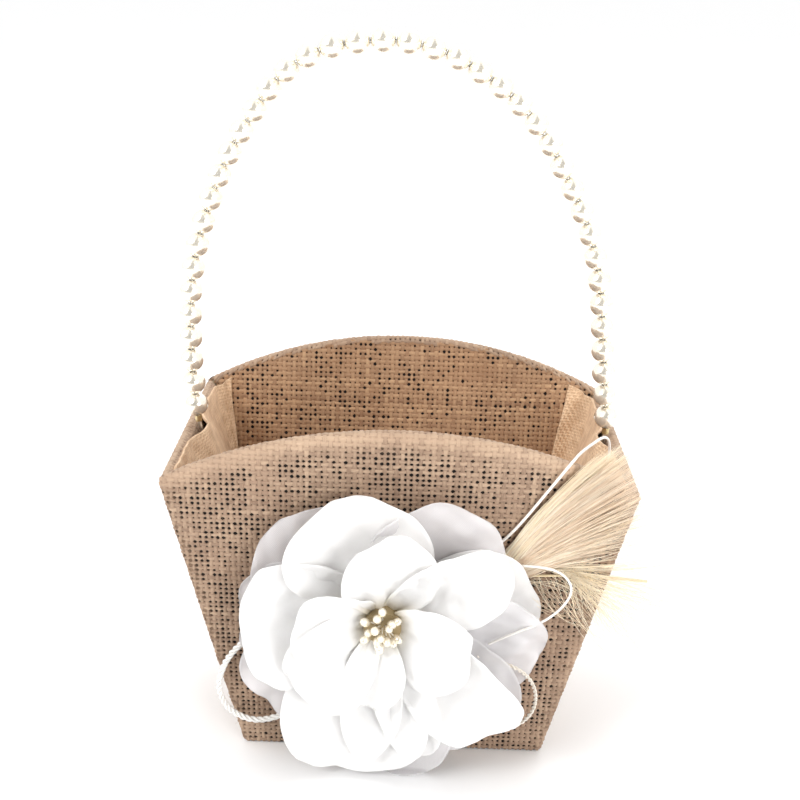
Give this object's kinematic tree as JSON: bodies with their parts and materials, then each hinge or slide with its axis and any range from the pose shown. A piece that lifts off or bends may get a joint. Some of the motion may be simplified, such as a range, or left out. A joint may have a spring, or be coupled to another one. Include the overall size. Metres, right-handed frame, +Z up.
{
  "type": "flower girl basket",
  "caption": "Small burlap-covered open-top basket with a swinging pearl-strung wire handle and a chiffon flower with feathers and loose cords on its front wall.",
  "frame": {"origin": "middle of the underside of the base, on the surface that the basket stands on", "axes": "+Z up, -Y out of the front wall that carries the flower, +X to the right seen from the front; the handle swings about X"},
  "size_m": [0.176, 0.1183, 0.2412],
  "materials": {
    "burlap": "coarse plain-woven jute",
    "burlap_lining": "coarse plain-woven jute",
    "side_lining": "finer twill-like jute",
    "card": "grey-brown pressed card",
    "pearl": "pearlescent ivory coating",
    "wire": "drawn spring wire",
    "crimp": "plated",
    "pin": "plated",
    "felt": "pressed felt",
    "binding_tape": "wound floral tape",
    "organza": "sheer stiff organza",
    "chiffon": "soft white chiffon",
    "stamen_wire": "fine wire",
    "stamen_bead": "pearlescent ivory",
    "feather": "fine cream barbs",
    "quill": "feather shaft",
    "satin_cord": "white satin cord",
    "fine_cord": "fine twisted thread"
  },
  "bodies": {
    "basket": {"back_board": "card", "back_cover": "burlap", "back_lining": "burlap_lining", "base_board": "card", "base_cover": "burlap", "base_lining": "burlap_lining", "feather_binding": "binding_tape", "fine_loop_cord": "fine_cord", "flower_core": "binding_tape", "flower_felt": "felt", "front_board": "card", "front_cover": "burlap", "front_lining": "burlap_lining", "handle_tie_cord": "fine_cord", "inner_petal_1": "chiffon", "inner_petal_2": "chiffon", "inner_petal_3": "chiffon", "inner_petal_4": "chiffon", "inner_petal_5": "chiffon", "left_anchor_pin": "pin", "left_board": "card", "left_cover": "burlap", "left_lining": "side_lining", "left_loop_cord": "satin_cord", "lower_quill": "quill", "lower_vane": "feather", "organza_petal_1": "organza", "organza_petal_2": "organza", "organza_petal_3": "organza", "organza_petal_4": "organza", "organza_petal_5": "organza", "organza_petal_6": "organza", "organza_petal_7": "organza", "outer_petal_1": "chiffon", "outer_petal_2": "chiffon", "outer_petal_3": "chiffon", "outer_petal_4": "chiffon", "outer_petal_5": "chiffon", "petal_loop_cord": "satin_cord", "right_anchor_pin": "pin", "right_board": "card", "right_cover": "burlap", "right_lining": "side_lining", "stamen_beads": "stamen_bead", "stamen_wires": "stamen_wire", "upper_quill": "quill", "upper_vane": "feather"},
    "handle": {"handle_wire": "wire", "handle_pearls": "pearl", "left_end_crimp": "crimp", "right_end_crimp": "crimp"}
  },
  "joints": [
    {"name": "handle_swing", "type": "hinge", "parent": "basket", "child": "handle", "pos_m": [0, 0, 0.101], "axis": [1, 0, 0], "range_deg": [-30, 30]}
  ]
}
